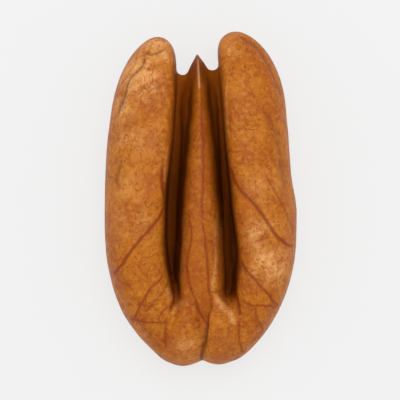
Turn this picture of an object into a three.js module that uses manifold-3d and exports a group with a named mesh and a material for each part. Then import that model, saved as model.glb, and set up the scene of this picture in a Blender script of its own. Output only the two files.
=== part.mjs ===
// One shelled half of a pecan kernel, lying on the flat inner face that met the other half.
// Millimetres, +Z up. +Y runs along the kernel to the forked end, +X to the right seen from above.
// It grew as one piece, so the rounded masses below are fused into one solid.
import * as THREE from "three";
import { mergeVertices } from "three/addons/utils/BufferGeometryUtils.js";
import Module from "manifold-3d";

const wasm = await Module();
wasm.setup();

// Driving dimensions: everything below is a share of half the length, half the width or the thickness
const LENGTH = 32;
const WIDTH = 18.5;
const THICKNESS = 9;

// Each mass has a base end and a tip, [x, y], with left and right edges at places between them.
// Places are even steps of angle, as on a globe's meridian, so that both ends come out round.
// crest and belly are heights at the same places, ends included. crestPlace is how far across
// from the left edge the crest runs, and the corners say how square the section is there:
// 2 is an ellipse, 1 a straight slope. Both are lists from the base to the tip. tipPinch is the
// last share of the length that narrows to a point instead.
const OUTER_TOP = [2.2, 2.2];
const OUTER_BOTTOM = [2.6, 2.6];
const INNER_RIM = [2.2, 2.6, 4.4, 4.8, 3.4];
const INNER_BOTTOM = [3, 3.4];
const LEFT_LOBE = {
  facets: { around: 40, along: 40 },
  base: [-0.27, -0.982],
  tip: [-0.44, 0.965],
  left: [-0.482, -0.785, -0.958, -0.985, -0.957, -0.86, -0.65],
  right: [-0.05, -0.16, -0.325, -0.337, -0.28, -0.248, -0.275],
  crest: [0.34, 0.58, 0.8, 0.96, 1.0, 0.98, 0.89, 0.7, 0.4],
  belly: [0.34, 0.12, 0.0, -0.03, -0.035, -0.03, 0.0, 0.12, 0.4],
  crestPlace: [0.5, 0.44, 0.6, 0.66, 0.55],
  corners: { leftTop: OUTER_TOP, rightTop: INNER_RIM, leftBottom: OUTER_BOTTOM, rightBottom: INNER_BOTTOM },
};
const RIGHT_LOBE = {
  facets: { around: 40, along: 40 },
  base: [0.27, -0.978],
  tip: [0.365, 1.0],
  left: [0.06, 0.24, 0.37, 0.314, 0.249, 0.204, 0.19],
  right: [0.522, 0.796, 0.976, 0.952, 0.914, 0.835, 0.625],
  crest: [0.34, 0.58, 0.8, 0.96, 1.0, 0.97, 0.88, 0.7, 0.42],
  belly: [0.34, 0.12, 0.0, -0.03, -0.035, -0.03, 0.0, 0.12, 0.42],
  crestPlace: [0.5, 0.56, 0.4, 0.34, 0.45],
  corners: { leftTop: INNER_RIM, rightTop: OUTER_TOP, leftBottom: INNER_BOTTOM, rightBottom: OUTER_BOTTOM },
};
// The ridge between the grooves: a rounded tongue below, a sharp concave roof at the forked end
const RIDGE_TOP = [2.3, 2.3, 2.2, 1.1, 0.75];
const RIDGE_FOOT = [2.5, 2.5];
const RIDGE = {
  facets: { around: 28, along: 40 },
  base: [0.03, -0.76],
  tip: [-0.035, 0.872],
  tipPinch: 0.13,
  left: [-0.22, -0.26, -0.25, -0.225, -0.195, -0.2, -0.09],
  right: [0.24, 0.265, 0.24, 0.215, 0.195, 0.175, 0.045],
  crest: [0.5, 0.7, 0.82, 0.86, 0.85, 0.79, 0.68, 0.54, 0.4],
  belly: [0.5, 0.35, 0.25, 0.22, 0.22, 0.22, 0.2, 0.2, 0.4],
  crestPlace: [0.5, 0.5],
  corners: { leftTop: RIDGE_TOP, rightTop: RIDGE_TOP, leftBottom: RIDGE_FOOT, rightBottom: RIDGE_FOOT },
};
// Two heels swell side by side at the base end, with a cleft between them.
const HEEL_TOP = [2, 2];
const HEEL_BOTTOM = [2.4, 2.4];
const LEFT_HEEL = {
  facets: { around: 26, along: 22 },
  base: [-0.175, -1.0],
  tip: [-0.18, -0.57],
  left: [-0.4, -0.43, -0.31],
  right: [0.085, 0.13, 0.02],
  crest: [0.32, 0.63, 0.81, 0.75, 0.42],
  belly: [0.32, 0.1, 0.01, 0.1, 0.42],
  crestPlace: [0.5, 0.5],
  corners: { leftTop: HEEL_TOP, rightTop: HEEL_TOP, leftBottom: HEEL_BOTTOM, rightBottom: HEEL_BOTTOM },
};
const RIGHT_HEEL = {
  ...LEFT_HEEL,
  base: [0.19, -0.995],
  tip: [0.17, -0.505],
  left: [-0.055, -0.09, 0.04],
  right: [0.43, 0.46, 0.28],
};
// The floor of the grooves falls away from the ridge to both lobes, as a tent does, and joins them.
// Its own underside is flat and leaves a trough in the face that the kernel lies on.
const FLOOR = {
  x: [-0.46, 0.44],
  y: [-0.8, 0.8],
  z: [0.1, 0.48],
  planRoundness: 5,
  endRoundness: 2.6,
  tentRoundness: 1.3,
  underRoundness: 5,
};
// At the forked end the floor is notched on both sides of the ridge, each notch with a round bottom.
const NOTCHES = [
  { x: -0.18, y: 0.8, halfWidth: 0.085, depth: 0.06 },
  { x: 0.12, y: 0.815, halfWidth: 0.08, depth: 0.048 },
];
// A hip swells the right lobe's outer side just below the middle.
const HIP = { y: -0.05, reach: 0.13, swell: 0.034 };

// A mass is widest this far up from its belly.
const WIDEST_AT = 0.4;

const HALF_LENGTH = LENGTH / 2;
const HALF_WIDTH = WIDTH / 2;

// One coordinate of a superellipse, from its share of a circle.
const curveOut = (share, roundness) => Math.sign(share) * Math.abs(share) ** (2 / roundness);

// A closed body shaped from a ball: each ring of the ball becomes the cross-section at its place.
function growBody({ around, along }, section) {
  const ball = new THREE.SphereGeometry(1, around, along);
  const place = ball.attributes.position;
  for (let i = 0; i < place.count; i++) {
    const [x, y, z] = [place.getX(i), place.getY(i), place.getZ(i)];
    const ring = Math.hypot(x, z) || 1;
    const point = section(Math.acos(-y) / Math.PI, x / ring, z / ring);
    place.setXYZ(i, point[0] * HALF_WIDTH, point[1] * HALF_LENGTH, point[2] * THICKNESS);
  }
  return ball;
}

// The closed outline of a mass in plan, from its base up the left side to its tip and down the right.
function planOutline({ base, tip, left, right }) {
  const steps = left.length + 1;
  const middleY = (base[1] + tip[1]) / 2;
  const halfY = (tip[1] - base[1]) / 2;
  const side = (edge) => edge.map((x, i) => [x, middleY - halfY * Math.cos((Math.PI * (i + 1)) / steps)]);
  const loop = [base, ...side(left), tip, ...side(right).reverse()];
  return new THREE.CatmullRomCurve3(loop.map(([x, y]) => new THREE.Vector3(x, y, 0)), true, "catmullrom");
}

// Heights along a mass: one loop over the crest and back under the belly, so that the ends are round
function heightLoop(crest, belly) {
  const loop = [...crest, ...belly.slice(1, -1).reverse()];
  return new THREE.CatmullRomCurve3(loop.map((z) => new THREE.Vector3(0, 0, z)), true, "catmullrom");
}

// A smooth run through values listed from the base to the tip
function runAlong(values) {
  const curve = new THREE.SplineCurve(values.map((value, i) => new THREE.Vector2(i, value)));
  return (t) => curve.getPoint(t).y;
}

// One mass: edges from its outline, crest and belly from its heights, corners from their roundness.
function mass({ facets, crest, belly, crestPlace, corners, tipPinch = 0, ...plan }, swell = () => 0) {
  const outline = planOutline(plan);
  const heights = heightLoop(crest, belly);
  const crestShare = runAlong(crestPlace);
  const roundness = Object.fromEntries(Object.entries(corners).map(([name, run]) => [name, runAlong(run)]));
  return growBody(facets, (t, across, up) => {
    const left = outline.getPoint(t / 2);
    const right = outline.getPoint(1 - t / 2);
    right.x += swell(right.y);
    const top = heights.getPoint(t / 2).z;
    const bottom = heights.getPoint(1 - t / 2).z;
    const middleX = left.x + (right.x - left.x) * crestShare(t);
    const middleZ = bottom + (top - bottom) * WIDEST_AT;
    const pinch = t > 1 - tipPinch ? (1 - t) / tipPinch : 1;
    const reach = pinch * (across > 0 ? right.x - middleX : middleX - left.x);
    const rise = up > 0 ? top - middleZ : middleZ - bottom;
    const round = roundness[(across > 0 ? "right" : "left") + (up > 0 ? "Top" : "Bottom")](t);
    return [middleX + reach * curveOut(across, round), left.y, middleZ + rise * curveOut(up, round)];
  });
}

// The hip's swell, in shares of half the width, at a place along the length
const hip = (y) => HIP.swell * Math.exp(-(((y - HIP.y) / HIP.reach) ** 2));

// The groove floor: a tent over a flat underside, its sides sunk into the lobes, thinner at its ends
function grooveFloor({ x, y, z, planRoundness, endRoundness, tentRoundness, underRoundness }) {
  const within = ([from, to], share) => (from + to) / 2 + ((to - from) / 2) * share;
  return growBody({ around: 24, along: 24 }, (t, across, up) => {
    const fullness = Math.sin(Math.PI * t);
    const round = up > 0 ? tentRoundness : underRoundness;
    return [
      within(x, curveOut(fullness, planRoundness) * curveOut(across, round)),
      within(y, curveOut(-Math.cos(Math.PI * t), planRoundness)),
      within(z, curveOut(fullness, endRoundness) * curveOut(up, round)),
    ];
  });
}

// A notch is cut by an upright post with an oval section.
function notchPost({ x, y, halfWidth, depth }) {
  const post = new THREE.CylinderGeometry(1, 1, THICKNESS, 40);
  post.rotateX(Math.PI / 2);
  post.scale(halfWidth * HALF_WIDTH, depth * HALF_LENGTH, 1);
  return post.translate(x * HALF_WIDTH, y * HALF_LENGTH, THICKNESS / 2);
}

// Fusing: closed geometry to a solid, and a solid back to geometry
function toSolid(geometry) {
  const bare = new THREE.BufferGeometry();
  bare.setAttribute("position", geometry.attributes.position);
  bare.setIndex(geometry.index);
  const closed = mergeVertices(bare, 1e-4);
  const vertProperties = new Float32Array(closed.attributes.position.array);
  const triVerts = new Uint32Array(closed.index.array);
  return new wasm.Manifold(new wasm.Mesh({ numProp: 3, vertProperties, triVerts }));
}

function toGeometry(solid) {
  const { vertProperties, triVerts } = solid.getMesh();
  const geometry = new THREE.BufferGeometry();
  geometry.setAttribute("position", new THREE.BufferAttribute(vertProperties, 3));
  geometry.setIndex(new THREE.BufferAttribute(triVerts, 1));
  geometry.computeVertexNormals();
  return geometry;
}

const masses = [mass(LEFT_LOBE), mass(RIGHT_LOBE, hip), mass(RIDGE), mass(LEFT_HEEL), mass(RIGHT_HEEL)];
const posts = NOTCHES.map(notchPost).map(toSolid);
const floor = posts.reduce((rest, post) => rest.subtract(post), toSolid(grooveFloor(FLOOR)));
const fused = masses.map(toSolid).reduce((whole, next) => whole.add(next), floor);
// The lobes' bellies are cut level, which leaves the flat that the kernel rests on.
const below = new THREE.BoxGeometry(2 * LENGTH, 2 * LENGTH, THICKNESS).translate(0, 0, -THICKNESS / 2);
const kernel = toGeometry(fused.subtract(toSolid(below)));

// The origin is under the middle of the kernel, on the surface it lies on.
kernel.computeBoundingBox();
const middle = kernel.boundingBox.getCenter(new THREE.Vector3());
kernel.translate(-middle.x, -middle.y, 0);

const skin = new THREE.MeshStandardMaterial({ color: 0xb8742f, roughness: 0.5, metalness: 0 });
const pecanHalf = new THREE.Mesh(kernel, skin);
pecanHalf.name = "pecan_half";

const part = new THREE.Group();
part.add(pecanHalf);

export default part;
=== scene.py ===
"""A shelled pecan half: the looks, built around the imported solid. Metres, in the frame of the solid."""

import math

import bpy
import numpy as np
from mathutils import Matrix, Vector, noise
from mathutils.bvhtree import BVHTree
from mathutils.kdtree import KDTree


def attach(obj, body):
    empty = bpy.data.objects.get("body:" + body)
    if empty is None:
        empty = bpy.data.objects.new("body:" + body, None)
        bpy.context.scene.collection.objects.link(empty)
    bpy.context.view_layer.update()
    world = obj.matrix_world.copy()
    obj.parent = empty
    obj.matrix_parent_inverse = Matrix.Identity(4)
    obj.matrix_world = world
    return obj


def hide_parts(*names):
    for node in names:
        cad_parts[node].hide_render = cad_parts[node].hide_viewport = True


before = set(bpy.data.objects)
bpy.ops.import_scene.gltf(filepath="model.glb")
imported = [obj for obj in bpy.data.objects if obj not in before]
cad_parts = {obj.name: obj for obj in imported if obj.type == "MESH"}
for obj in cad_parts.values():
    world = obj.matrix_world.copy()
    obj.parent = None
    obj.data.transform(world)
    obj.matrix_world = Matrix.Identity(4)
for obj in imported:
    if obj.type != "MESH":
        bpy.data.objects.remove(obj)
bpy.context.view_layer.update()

# The kernel half: one seed leaf of a pecan in its thin seed coat, dried and taken out of its shell.
# It grew as one body, so it is one closed skin over the solid, softened where the masses meet and
# then dented, creased and veined, as the shell pressed it and the coat dried on it.
MM = 0.001
SEAM = 0.001 * MM
SKIN_VOXEL = 0.16 * MM
SOFTEN_ROUNDS = 3

bpy.ops.object.select_all(action="DESELECT")
kernel = bpy.data.objects.new("kernel_half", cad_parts["pecan_half"].data.copy())
bpy.context.collection.objects.link(kernel)
kernel.data.materials.clear()
bpy.context.view_layer.objects.active = kernel
kernel.select_set(True)
bpy.ops.object.mode_set(mode="EDIT")
bpy.ops.mesh.select_all(action="SELECT")
bpy.ops.mesh.remove_doubles(threshold=SEAM)
bpy.ops.object.mode_set(mode="OBJECT")
reskin = kernel.modifiers.new("reskin", "REMESH")
reskin.mode = "VOXEL"
reskin.voxel_size = SKIN_VOXEL
bpy.ops.object.modifier_apply(modifier=reskin.name)
soften = kernel.modifiers.new("soften", "SMOOTH")
soften.factor = 0.5
soften.iterations = SOFTEN_ROUNDS
bpy.ops.object.modifier_apply(modifier=soften.name)
bpy.ops.object.shade_smooth()


def skin_points(name):
    """The skin's vertex coordinates or normals, in rows."""
    flat = np.empty(len(kernel.data.vertices) * 3, dtype=np.float32)
    kernel.data.vertices.foreach_get(name, flat)
    return flat.reshape(-1, 3).astype(float)


def move_skin(heights):
    """Moves each vertex along its normal by so many millimetres."""
    moved = skin_points("co") + skin_points("normal") * (heights * MM)[:, None]
    kernel.data.vertices.foreach_set("co", moved.astype(np.float32).ravel())
    kernel.data.update()


def keep_on_skin(name, values):
    """Stores one number for each vertex, for the material to read."""
    kernel.data.attributes.new(name, "FLOAT", "POINT").data.foreach_set("value", values.astype(np.float32))


def swells(points, size_mm, seed):
    """Smooth seeded swells and hollows, about -1 to 1, of this size, at points in millimetres."""
    away = Vector((seed * 17.3, seed * 5.9, seed * 11.1))
    return np.array([noise.noise(Vector(point) / size_mm + away) for point in points])


# Broad swells: the lobes aren't quite even. They fade out towards the face that it lies on. Heights and
# sizes are in millimetres. outer is 1 on the outer side and 0 on the underside and on upright walls.
LEVEL_FACE = 0.6
FADE_UP = 1.5
BROAD_HEIGHT = 0.1
BROAD_SIZE = 5.5
FINE_HEIGHT = 0.05
FINE_SIZE = 2.2
place = skin_points("co") / MM
facing = skin_points("normal")
lifted = np.clip((place[:, 2] - LEVEL_FACE) / FADE_UP, 0, 1)
outer = lifted * np.clip(facing[:, 2] * 2.5, 0, 1)
move_skin(lifted * (BROAD_HEIGHT * swells(place, BROAD_SIZE, 1) + FINE_HEIGHT * swells(place, FINE_SIZE, 2)))

# Lines on the outer side, in millimetres from the middle: [strength, half width, points].
# Veins run out from the grooves over the lobes and branch. One pair follows the ridge into the cleft.
VEINS = [
    [1.0, 0.17, (-3.5, 3.9), (-3.6, 1.7), (-3.5, -1.1), (-5.3, -3.3), (-6.8, -5.3), (-8.3, -7.3),
     (-9.4, -8.8)],
    [0.8, 0.14, (-3.2, -6.7), (-4.0, -7.8), (-4.5, -8.2), (-5.7, -10.2), (-6.6, -12.1), (-7.4, -13.6)],
    [0.6, 0.12, (-3.0, -7.3), (-3.4, -8.4), (-4.3, -9.6), (-5.3, -10.8)],
    [0.7, 0.12, (-3.2, -10.2), (-3.7, -10.7), (-4.2, -11.5)],
    [0.8, 0.13, (-7.2, -11.5), (-6.1, -11.4), (-5.3, -11.5), (-4.3, -11.6), (-3.2, -11.7), (-2.7, -11.7)],
    [0.5, 0.11, (-4.8, -11.9), (-4.7, -12.6), (-4.6, -13.2)],
    [0.7, 0.16, (-3.2, -11.0), (-3.2, -11.8), (-3.3, -12.8), (-3.2, -14.2)],
    [0.4, 0.11, (-3.1, -12.4), (-2.5, -12.5), (-1.8, -12.7)],
    [0.8, 0.16, (0, 10.5), (0.1, 7.2), (0.2, 3.9), (0.2, -1.6), (0.6, -6.0), (0.8, -8.2),
     (1.0, -10.4), (0.7, -12)],
    [0.5, 0.12, (-1.1, 3.5), (-0.9, 1.7), (-0.2, -0.5), (0.3, -2.1)],
    [0.8, 0.13, (-1.1, -1.1), (-0.9, -4.0), (-1.2, -5.8), (-1.1, -7.5), (-0.6, -9.5), (-0.1, -11.0),
     (0.5, -11.4)],
    [0.5, 0.11, (1.5, -3.3), (1.3, -4.4), (0.9, -5.5)],
    [0.5, 0.11, (-1.3, -9.2), (-0.9, -9.4), (-0.5, -9.6)],
    [1.0, 0.17, (2.4, 4.3), (2.9, 2.6), (3.6, 1.0), (5.3, -0.9), (6.8, -3.1), (7.9, -4.2),
     (8.9, -4.4), (10.2, -4.4)],
    [0.9, 0.15, (3.3, -5.3), (4.4, -6.8), (6.2, -8.8), (7.4, -10.4), (8.4, -11.8)],
    [0.8, 0.13, (3.5, -9.4), (4.9, -10.0), (6.6, -10.0), (7.4, -10.6), (8.2, -11.4)],
    [0.8, 0.14, (3.7, -11.2), (3.6, -13.2), (4.1, -14.6), (4.5, -15.8)],
    [0.6, 0.12, (4.9, -11.0), (5.7, -12.1), (5.9, -13.2), (6.1, -14.4)],
    [0.6, 0.14, (5.7, 2.8), (6.8, 0.8), (7.9, -1.1), (8.6, -2.7), (8.9, -3.6), (9.4, -4.8)],
    [0.5, 0.16, (4.6, 10.6), (5.3, 8.9), (6.6, 7.4)],
    [0.5, 0.14, (3.5, 6.1), (4.6, 7.2), (5.9, 7.4)],
    [0.5, 0.14, (-3.2, 11.1), (-4.2, 10.4), (-5.1, 9.8)],
    [0.4, 0.13, (-8.4, -7.3), (-7.0, -8.0), (-5.9, -7.8), (-4.8, -7.2)],
    [0.4, 0.13, (7.3, -5.3), (7.1, -7.7), (7.5, -10.2)],
    [0.35, 0.12, (4.4, -6.8), (4.6, -8.2), (5.0, -9.8)],
    [0.35, 0.12, (5.3, -0.9), (6.4, -0.6), (7.6, -1.4)],
    [0.35, 0.12, (-5.3, -3.3), (-5.6, -1.6), (-6.6, 0.2)],
    [0.8, 0.14, (5.1, -9.9), (5.2, -10.8), (5.6, -11.8), (5.85, -12.6), (5.9, -13.6)],
    [0.9, 0.14, (-0.6, -9.2), (-0.2, -10.4), (0.22, -11.1), (0.5, -11.6), (0.55, -12.4)],
    [0.9, 0.15, (0.85, -9.2), (1.03, -10.1), (0.95, -10.7), (0.74, -11.3), (0.55, -12.4)],
]
# Creases are pressed in, and painted darker in them as painted shade: two at the tips, a short one at
# the left edge, and a long dent at the right.
CREASES = [
    [0.8, 0.2, (3.5, 15.3), (4.9, 14.6), (6.2, 12.8), (7.1, 11.1), (7.6, 9.2)],
    [1.0, 0.2, (-5.3, 13.8), (-5.5, 12.5), (-6.6, 11.3), (-7.3, 9.6), (-7.9, 7.6)],
    [1.0, 0.16, (-3.1, 14.3), (-4.4, 13.6), (-5.3, 13.8)],
    [0.8, 0.22, (-7.3, 3.9), (-7.9, 2.1), (-7.6, 0.8)],
    [0.9, 0.15, (-9.0, 2.1), (-8.5, 2.0), (-8.1, 2.0)],
    [0.7, 0.4, (6.2, 8.4), (6.6, 7.2), (7.2, 5.6), (7.5, 3.6), (8.1, 0.3)],
]
# The cleft between the heels and the tails of the two grooves beside them, both also painted darker as
# painted shade, and a painted highlight along the thin crest of the ridge at the forked end
CLEFT = [[1.0, 0.15, (0.6, -11.2), (0.5, -12.4), (0.35, -13.8), (0.15, -15.0), (0.1, -16.0)]]
TAILS = [
    [0.7, 0.2, (-2.35, -7.6), (-2.3, -8.6), (-2.35, -9.5), (-2.6, -10.1), (-2.8, -10.7)],
    [0.7, 0.24, (2.95, -7.6), (3.05, -8.8), (3.3, -9.6), (3.5, -10.4), (3.6, -11.2)],
]
# a painted highlight along the thin crest of the ridge
CREST_HIGHLIGHT = [[1.0, 0.12, (-0.25, 13.6), (-0.2, 12.0), (-0.1, 10.3)]]
# Painted shade: the flanks of the ridge are painted darkest. Low down in the right groove the lobe's
# wall is painted darkest instead.
FLANK_SHADE = [
    [0.9, 0.3, (-0.8, 11.6), (-0.95, 9.4), (-1.35, 4.6), (-1.95, -0.2), (-2.05, -4.9), (-2.1, -8.5)],
    [0.9, 0.3, (0.6, 11.6), (0.76, 9.4), (1.43, 4.6), (1.8, -0.2), (2.05, -3.0)],
    [0.7, 0.32, (2.6, 0.5), (2.85, -2.8), (3.0, -5.3), (3.15, -7.7), (3.2, -9.0)],
    [0.55, 0.4, (-2.5, -4.5), (-2.5, -6.0), (-2.45, -7.4), (-2.4, -8.8)],
]
# The top of the ridge above them towards the forked end, and its slope low down on the right, are lit:
# there the painted shade of the grooves is lessened.
SPINE = [
    [1.0, 0.5, (-0.15, 11.8), (-0.05, 9.5), (0.0, 7.0), (0.1, 4.0), (0.1, 1.0)],
    [0.7, 0.4, (1.75, 0.5), (1.85, -2.6), (2.0, -5.3), (2.1, -7.7), (2.35, -9.4), (2.7, -10.6)],
]
# The ridge as a whole is a shade redder and darker than the lobes.
RIDGE = [[1.0, 1.5, (-0.2, 14.0), (-0.1, 8.0), (0.0, 0.0), (0.1, -7.0), (0.2, -11.0)]]

# The lines wander a little, as living lines do: in slow bends and in small kinks.
SLOW_BEND = 1.6
SLOW_REACH = 0.14
KINK = 0.6
KINK_REACH = 0.05

wander = np.stack([swells(place, SLOW_BEND, 3), swells(place, SLOW_BEND, 4)], axis=1) * SLOW_REACH
wander += np.stack([swells(place, KINK, 5), swells(place, KINK, 6)], axis=1) * KINK_REACH

# How lines are drawn: in short steps, weaker and thinner towards both ends, with no mark far away
RUN_STEP = 0.05
TAPER_PACE = 6
TIP_STRENGTH = 0.25
TIP_WIDTH = 0.6
FARTHEST_MARK = 3


def smooth_run(points):
    """A Catmull-Rom run through given points, in steps of about RUN_STEP."""
    ends = [points[0], *points, points[-1]]
    run = []
    for a, b, c, d in zip(ends, ends[1:], ends[2:], ends[3:]):
        a, b, c, d = (np.array(p, dtype=float) for p in (a, b, c, d))
        for t in np.arange(0, 1, RUN_STEP / max(np.linalg.norm(c - b), RUN_STEP)):
            run.append(b + 0.5 * t * (c - a + t * (2 * a - 5 * b + 4 * c - d + t * (3 * (b - c) + d - a))))
    return run


def drawn(lines, wandering=1.0):
    """How strongly these lines mark each vertex of the outer side, 0 to 1, thinner at both ends."""
    marks = []
    for strength, half_width, *points in lines:
        run = smooth_run(points)
        for i, point in enumerate(run):
            taper = min(1, min(i, len(run) - 1 - i) / len(run) * TAPER_PACE + TIP_STRENGTH)
            marks.append((point, strength * taper, half_width * (TIP_WIDTH + (1 - TIP_WIDTH) * taper)))
    finder = KDTree(len(marks))
    for i, (point, _, _) in enumerate(marks):
        finder.insert((point[0], point[1], 0), i)
    finder.balance()
    drawn_here = np.zeros(len(place))
    for i in np.nonzero(outer > 0.05)[0]:
        at = place[i, :2] + wander[i] * wandering
        _, nearest, away = finder.find((at[0], at[1], 0))
        if away < FARTHEST_MARK:
            _, strength, half_width = marks[nearest]
            drawn_here[i] = strength * math.exp(-((away / half_width) ** 2))
    return drawn_here * np.clip(outer * 3, 0, 1)


# Side branches: short fine veins leave each stronger one at a slant, to one side or the other, and bend
# on their way. Slants and bends are in radians, stretches in millimetres, spacings in steps of the run.
WEAKEST_STEM = 0.55
END_STEPS = 6
TWIG_SLANT = (0.5, 1.0)
TWIG_STEPS = 4
TWIG_STRETCH = (0.2, 0.6)
TWIG_BEND = (-0.45, 0.45)
TWIG_SHARE = (0.35, 0.6)
TWIG_HALF_WIDTH = 0.1
TWIG_SPACING = (14, 36)
dice = np.random.default_rng(11)
branches = []
for strength, _, *points in VEINS:
    run = smooth_run(points)
    step = END_STEPS
    while strength > WEAKEST_STEM and step < len(run) - END_STEPS:
        ahead = run[step + 4] - run[step - 4]
        turn = dice.choice([-1, 1]) * dice.uniform(*TWIG_SLANT)
        twig = [run[step]]
        for _ in range(TWIG_STEPS):
            heading = math.atan2(ahead[1], ahead[0]) + turn
            stretch = dice.uniform(*TWIG_STRETCH)
            twig.append(twig[-1] + stretch * np.array([math.cos(heading), math.sin(heading)]))
            turn += dice.uniform(*TWIG_BEND)
        branches.append([strength * dice.uniform(*TWIG_SHARE), TWIG_HALF_WIDTH, *twig])
        step += int(dice.uniform(*TWIG_SPACING))

# Veins stand up and creases are pressed in, in millimetres. Veins fade out on steep places, down the
# outer sides and into the grooves.
VEIN_HEIGHT = 0.035
CREASE_DEPTH = 0.11
CLEFT_DEPTH = 0.28
TAIL_DEPTH = 0.3
vein = np.maximum(drawn(VEINS), drawn(branches)) * np.clip(3 * facing[:, 2] - 0.3, 0, 1)
crease = drawn(CREASES)
cleft = drawn(CLEFT, 0.2)
tails = drawn(TAILS, 0.4)
move_skin(VEIN_HEIGHT * vein - CREASE_DEPTH * crease - CLEFT_DEPTH * cleft - TAIL_DEPTH * tails)
keep_on_skin("vein", vein)
# the creases and the cleft are painted darker too: painted shade
keep_on_skin("crease", np.maximum(0.75 * crease, cleft))
# the tails are painted darker too: painted shade
keep_on_skin("tails", tails)
# a painted highlight along the crest
keep_on_skin("crest_highlight", drawn(CREST_HIGHLIGHT, 0.2))
keep_on_skin("ridge", drawn(RIDGE))
# painted shade on the flanks of the ridge and a lobe's wall
keep_on_skin("flank_shade", drawn(FLANK_SHADE))
spine = drawn(SPINE, 0.5)

# Painted highlights, on paler patches of the coat: broad spots at [x, y, reach, strength] on the lobes,
# and painted highlights along the folds of the ridge and the heels, drawn as lines.
PALE_AND_HIGHLIT_SPOTS = [
    [-6.0, 11.6, 2.4, 1.0],
    [-4.3, 14.0, 1.7, 1.0],
    [-7.2, 8.6, 1.8, 0.6],
    [-6.6, 5.4, 2.6, 0.42],
    [-6.8, 1.2, 2.4, 0.35],
    [-6.8, -2.2, 2.2, 0.4],
    [2.9, 14.2, 1.4, 0.4],
    [5.6, -3.2, 1.8, 0.7],
    [6.5, -6.2, 2.0, 0.85],
    [6.0, 1.0, 1.8, 0.45],
    [-1.2, -13.9, 1.5, 0.5],
    [2.2, -13.4, 1.3, 0.3],
    [8.6, -7.0, 1.5, 0.4],
]
FOLD_HIGHLIGHTS = [
    [0.5, 0.26, (1.5, -1.5), (1.4, -3.5), (1.4, -6.0), (1.25, -8.0), (1.2, -9.2)],
    [0.68, 0.36, (1.2, -9.0), (1.9, -9.9), (2.75, -10.9), (3.25, -12.0)],
    [0.36, 0.34, (-2.75, -11.0), (-2.3, -10.3), (-1.5, -9.9), (-1.0, -9.9)],
    [0.4, 0.35, (-3.4, -8.2), (-3.0, -9.0), (-2.75, -9.7)],
    [0.4, 0.16, (2.35, 11.0), (2.45, 8.0), (2.65, 5.5)],
    [0.4, 0.18, (-3.0, 5.0), (-3.25, 3.6), (-3.35, 1.4)],
    [0.3, 0.25, (-1.7, -2.0), (-1.75, -5.0), (-1.7, -8.0)],
]
pale_and_highlit = np.zeros(len(place))
for x, y, reach, strength in PALE_AND_HIGHLIT_SPOTS:
    away = ((place[:, 0] - x) ** 2 + (place[:, 1] - y) ** 2) / reach**2
    pale_and_highlit = np.maximum(pale_and_highlit, strength * np.exp(-away))
pale_and_highlit *= np.clip(0.8 + 0.55 * swells(place, 1.3, 7) + 0.5 * swells(place, 0.5, 8), 0, 1.2)
keep_on_skin("pale_and_highlit", np.maximum(pale_and_highlit * outer, drawn(FOLD_HIGHLIGHTS)))

# How open the skin is at each vertex: the share of the half sky over it that the kernel itself
# doesn't hide. It falls to almost nothing down in the grooves.
SKY_RAYS = 36
SKY_REACH = 7 * MM
SKY_LIFT = 0.05 * MM
SKY_EVEN_ROUNDS = 6
place = skin_points("co")
facing = skin_points("normal")
tree = BVHTree.FromPolygons(place.tolist(), [list(face.vertices) for face in kernel.data.polygons])
golden = math.pi * (3 - math.sqrt(5))
sky = []
for i in range(SKY_RAYS):
    height = math.sqrt((i + 0.5) / SKY_RAYS)
    across = math.sqrt(1 - height * height)
    sky.append(Vector((across * math.cos(golden * i), across * math.sin(golden * i), height)))
openness = np.empty(len(place))
for i, (point, normal) in enumerate(zip(place, facing)):
    normal = Vector(normal)
    turn = Vector((0, 0, 1)).rotation_difference(normal)
    start = Vector(point) + normal * SKY_LIFT
    hidden = sum(tree.ray_cast(start, turn @ ray, SKY_REACH)[0] is not None for ray in sky)
    openness[i] = 1 - hidden / SKY_RAYS
edges = np.empty(len(kernel.data.edges) * 2, dtype=np.int32)
kernel.data.edges.foreach_get("vertices", edges)
edges = edges.reshape(-1, 2)
neighbours = np.bincount(edges.ravel(), minlength=len(place))
for _ in range(SKY_EVEN_ROUNDS):
    total = np.bincount(edges[:, 0], openness[edges[:, 1]], len(place))
    total += np.bincount(edges[:, 1], openness[edges[:, 0]], len(place))
    openness = (openness + total) / (neighbours + 1)

# The coat is painted darker from the rims of the grooves inwards, as less of the sky is open: painted shade,
# over the dark brown the coat has in its grooves. It is painted darker less on the spine, and less at the
# lower ends of the grooves, where they run out between the heels and lobes.
GROOVE_END = -10.4
GROOVE_FADE = 1.8
RIM_OPENNESS = 0.84
RIM_SOFTNESS = 0.5
SPINE_LIGHT = 0.65
LEAST_AT_END = 0.3
run_out = np.clip((place[:, 1] / MM - GROOVE_END) / GROOVE_FADE, LEAST_AT_END, 1)
shade = np.clip((RIM_OPENNESS - openness) / RIM_SOFTNESS, 0, 1)
# painted shade in the grooves, over the coat's own dark brown there
keep_on_skin("groove", shade * (1 - SPINE_LIGHT * spine) * run_out)

# The groove bottoms are smooth, so what is deep is evened out once more.
DEEP_OPENNESS = 0.45
DEEP_SOFTNESS = 0.15
EVEN_ROUNDS = 14
bottoms = kernel.vertex_groups.new(name="groove_bottoms")
for i in np.nonzero(openness < DEEP_OPENNESS)[0]:
    bottoms.add([int(i)], min(1, (DEEP_OPENNESS - openness[i]) / DEEP_SOFTNESS), "REPLACE")
even = kernel.modifiers.new("even", "SMOOTH")
even.factor = 0.5
even.iterations = EVEN_ROUNDS
even.vertex_group = bottoms.name
bpy.ops.object.modifier_apply(modifier=even.name)

# Material: the dried seed coat, a thin satin skin. Golden to red brown in soft patches, red-brown
# veins, short dark worm-like flecks all over, dark brown down in the grooves with painted shade that makes
# them nearly black brown, and painted highlights, glints and shade laid on as colour elsewhere.
coat = bpy.data.materials.new("dried_seed_coat")
coat.use_nodes = True
coat.node_tree.nodes.clear()


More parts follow.
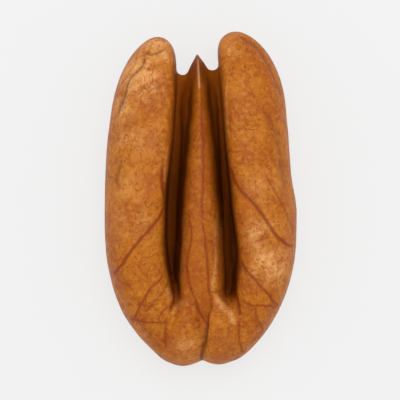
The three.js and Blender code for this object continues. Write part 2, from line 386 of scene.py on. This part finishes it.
def linear(hex_colour):
    """An sRGB hex colour as linear RGBA."""
    channels = [int(hex_colour[i : i + 2], 16) / 255 for i in (1, 3, 5)]
    return [c / 12.92 if c <= 0.04045 else ((c + 0.055) / 1.055) ** 2.4 for c in channels] + [1]


def add(kind, inputs=None, **settings):
    """Adds a node to the seed coat with its settings, input values and links, and gives its outputs."""
    node = coat.node_tree.nodes.new(kind)
    for name, value in settings.items():
        setattr(node, name, value)
    for socket, source in (inputs or {}).items():
        if isinstance(source, bpy.types.NodeSocket):
            coat.node_tree.links.new(source, node.inputs[socket])
        else:
            node.inputs[socket].default_value = source
    return node.outputs


# Patterns by name: first those kept on the skin
spot = add("ShaderNodeTexCoord")["Object"]
pattern = {}
for name in ("vein", "crease", "tails", "crest_highlight", "ridge", "flank_shade", "pale_and_highlit", "groove"):
    pattern[name] = add("ShaderNodeAttribute", attribute_name=name)["Fac"]

# Then soft patches and grain: the size of a feature in millimetres, detail and distortion
GRAINS = {
    "golden": (2.4, 3, 0),
    "red": (1.0, 3, 0),
    "light": (0.45, 2, 0),
    "net": (2.2, 2, 0.7),
    "net gaps": (2.8, 1, 0),
    "glint_curls": (0.7, 2, 0.7),
    "flecks": (0.5, 2, 0.7),
    "fleck gaps": (0.5, 1, 0),
    "pit places": (1.4, 1, 0),
    "wrinkles": (0.4, 3, 0.8),
    "sheen": (0.8, 2, 0),
}
for name, (size_mm, detail, distortion) in GRAINS.items():
    sizes = {"Vector": spot, "Scale": 1 / (size_mm * MM), "Detail": detail, "Distortion": distortion}
    pattern[name] = add("ShaderNodeTexNoise", sizes)["Fac"]

# Winding lines run where a grain crosses its middle value: a loose net, pale curls that are painted
# glints on the highlights, and dark flecks.
for name, thin, broad in (("net", 0.004, 0.022), ("glint_curls", 0.02, 0.07), ("flecks", 0.01, 0.05)):
    off_middle = add("ShaderNodeMath", {0: pattern[name], 1: 0.5}, operation="SUBTRACT")["Value"]
    off_middle = add("ShaderNodeMath", {0: off_middle}, operation="ABSOLUTE")["Value"]
    limits = {"Value": off_middle, "From Min": thin, "From Max": broad, "To Min": 1, "To Max": 0}
    pattern[name] = add("ShaderNodeMapRange", limits, interpolation_type="SMOOTHSTEP")["Result"]

# Round pits about half a millimetre apart
PIT_SPACING = 0.55
pits = add("ShaderNodeTexVoronoi", {"Vector": spot, "Scale": 1 / (PIT_SPACING * MM)})["Distance"]
limits = {"Value": pits, "From Min": 0.1, "From Max": 0.28, "To Min": 1, "To Max": 0}
pattern["pits"] = add("ShaderNodeMapRange", limits, interpolation_type="SMOOTHSTEP")["Result"]

# Each of these is broken up by a coarser pattern, between two of its values and two strengths.
BROKEN_UP = [
    ("net", "net gaps", (0.4, 0.6), (0.1, 0.55)),
    ("glint_curls", "pale_and_highlit", (0.05, 0.7), (0, 0.42)),
    ("flecks", "fleck gaps", (0.42, 0.58), (0, 1)),
    ("pits", "pit places", (0.48, 0.6), (0, 1)),
]
for name, by, (low, high), (weak, strong) in BROKEN_UP:
    limits = {"Value": pattern[by], "From Min": low, "From Max": high, "To Min": weak, "To Max": strong}
    strength = add("ShaderNodeMapRange", limits, interpolation_type="SMOOTHSTEP")["Result"]
    pattern[name] = add("ShaderNodeMath", {0: pattern[name], 1: strength}, operation="MULTIPLY")["Value"]
marks = {0: pattern["flecks"], 1: pattern["pits"]}
pattern["flecks"] = add("ShaderNodeMath", marks, operation="MAXIMUM")["Value"]

# Painted light: the grooves are painted a little lighter towards the forked end, where the notch lets light
# in.
FORK_PAINTED_LIGHT = 9
along = add("ShaderNodeSeparateXYZ", {"Vector": spot})["Y"]
limits = {"Value": along, "From Min": 0, "From Max": FORK_PAINTED_LIGHT * MM}
fork_painted_light = add("ShaderNodeMapRange", limits, interpolation_type="SMOOTHSTEP")["Result"]
browns = {"Factor": fork_painted_light, 6: linear("#682E05"), 7: linear("#88440C")}
groove_brown = add("ShaderNodeMix", browns, data_type="RGBA")[2]

# Layers of colour from the ground up: where a pattern goes from one value to another, its colour
# comes in up to a share.
LAYERS = [
    ("golden", (0.4, 0.6), 1, linear("#B96B18")),
    ("red", (0.46, 0.68), 0.36, linear("#A04A14")),
    ("light", (0.46, 0.72), 0.42, linear("#D08A36")),
    ("ridge", (0.1, 0.9), 0.35, linear("#9A460A")),
    # painted highlights, on paler patches of the coat
    ("pale_and_highlit", (0, 1), 0.82, linear("#E39E5C")),
    ("net", (0, 1), 1, linear("#8C3E10")),
    # painted glints, in the painted highlights
    ("glint_curls", (0, 1), 1, linear("#EEB874")),
    ("flecks", (0, 1), 0.52, linear("#7C3408")),
    ("vein", (0.04, 0.9), 0.85, linear("#84340C")),
    # painted shade in the creases and the cleft
    ("crease", (0.1, 1), 0.8, linear("#6E3814")),
    # painted shade in the tails of the grooves
    ("tails", (0.1, 1), 0.8, linear("#4A2204")),
    # painted highlight along the crest
    ("crest_highlight", (0.2, 0.9), 0.8, linear("#CF9A6A")),
    # painted shade in the grooves, over the coat's own dark brown there
    ("groove", (0, 1), 0.95, groove_brown),
    # painted shade on the ridge's flanks and a lobe's wall
    ("flank_shade", (0.1, 0.9), 0.7, linear("#3A1500")),
]
tint = linear("#AB5A14")
for name, (low, high), share, colour in LAYERS:
    limits = {"Value": pattern[name], "From Min": low, "From Max": high, "To Max": share}
    cover = add("ShaderNodeMapRange", limits, interpolation_type="SMOOTHSTEP")["Result"]
    tint = add("ShaderNodeMix", {"Factor": cover, 6: tint, 7: colour}, data_type="RGBA")[2]

# The satin: a low broad sheen that breaks up over fine wrinkles and is lost in the grooves
limits = {"Value": pattern["sheen"], "From Min": 0.35, "From Max": 0.65, "To Min": 0.42, "To Max": 0.56}
roughness = add("ShaderNodeMapRange", limits, interpolation_type="SMOOTHSTEP")["Result"]
limits = {"Value": pattern["groove"], "From Min": 0.2, "From Max": 1, "To Min": 0.15, "To Max": 0.03}
gloss = add("ShaderNodeMapRange", limits, interpolation_type="SMOOTHSTEP")["Result"]
wrinkles = {"Height": pattern["wrinkles"], "Strength": 0.35, "Distance": 0.05 * MM}
relief = add("ShaderNodeBump", wrinkles)["Normal"]
fleck_dents = {"Height": pattern["flecks"], "Strength": 0.3, "Distance": -0.03 * MM, "Normal": relief}
relief = add("ShaderNodeBump", fleck_dents)["Normal"]
skin = {
    "Base Color": tint,
    "Roughness": roughness,
    "IOR": 1.45,
    "Specular IOR Level": gloss,
    "Normal": relief,
}
surface = add("ShaderNodeBsdfPrincipled", skin)["BSDF"]
add("ShaderNodeOutputMaterial", {"Surface": surface})
kernel.data.materials.append(coat)

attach(kernel, "root")
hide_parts("pecan_half")

# The studio: a plain pale table, broad soft light from above and a little behind, and a camera
# that looks straight down on the kernel, with the forked end at the top of the picture.
TABLE_SIZE = 1.2
TABLE_GLOW = 0.713
SKY_GLOW = 0.78
KEY_PLACE = (0.02, 0.12, 0.35)
KEY_AIM = (0, 0, 0.004)
KEY_SIZE = 0.26
KEY_ENERGY = 0.52
CAMERA_LENS = 200
CAMERA_SENSOR = 36
PICTURE_PIXELS = 400
PIXEL_MM = 0.0955
WIDEST_HEIGHT = 3.6
FRAME_CENTRE = (-0.06, -0.11)

bpy.ops.mesh.primitive_plane_add(size=TABLE_SIZE)
table = bpy.context.object
table.name = "table"
paper = bpy.data.materials.new("white_paper")
paper.use_nodes = True
paper_inputs = paper.node_tree.nodes["Principled BSDF"].inputs
paper_inputs["Base Color"].default_value = linear("#707070")
paper_inputs["Roughness"].default_value = 0.9
paper_inputs["Specular IOR Level"].default_value = 0
paper_inputs["Emission Color"].default_value = (1, 1, 1, 1)
paper_inputs["Emission Strength"].default_value = TABLE_GLOW
table.data.materials.append(paper)

world = bpy.data.worlds.new("studio")
bpy.context.scene.world = world
world.use_nodes = True
world.node_tree.nodes["Background"].inputs["Color"].default_value = (1, 1, 1, 1)
world.node_tree.nodes["Background"].inputs["Strength"].default_value = SKY_GLOW

bpy.ops.object.light_add(type="AREA", location=KEY_PLACE)
key = bpy.context.object
key.name = "key_light"
key.data.shape = "DISK"
key.data.size = KEY_SIZE
key.data.energy = KEY_ENERGY
key.rotation_euler = (Vector(KEY_AIM) - key.location).to_track_quat("-Z", "Y").to_euler()

camera_height = PICTURE_PIXELS * PIXEL_MM * CAMERA_LENS / CAMERA_SENSOR + WIDEST_HEIGHT
bpy.ops.object.camera_add(location=(FRAME_CENTRE[0] * MM, FRAME_CENTRE[1] * MM, camera_height * MM))
camera = bpy.context.object
camera.data.lens = CAMERA_LENS
camera.data.sensor_width = CAMERA_SENSOR
camera.data.clip_start = 0.01
bpy.context.scene.camera = camera
bpy.context.scene.view_settings.view_transform = "Standard"
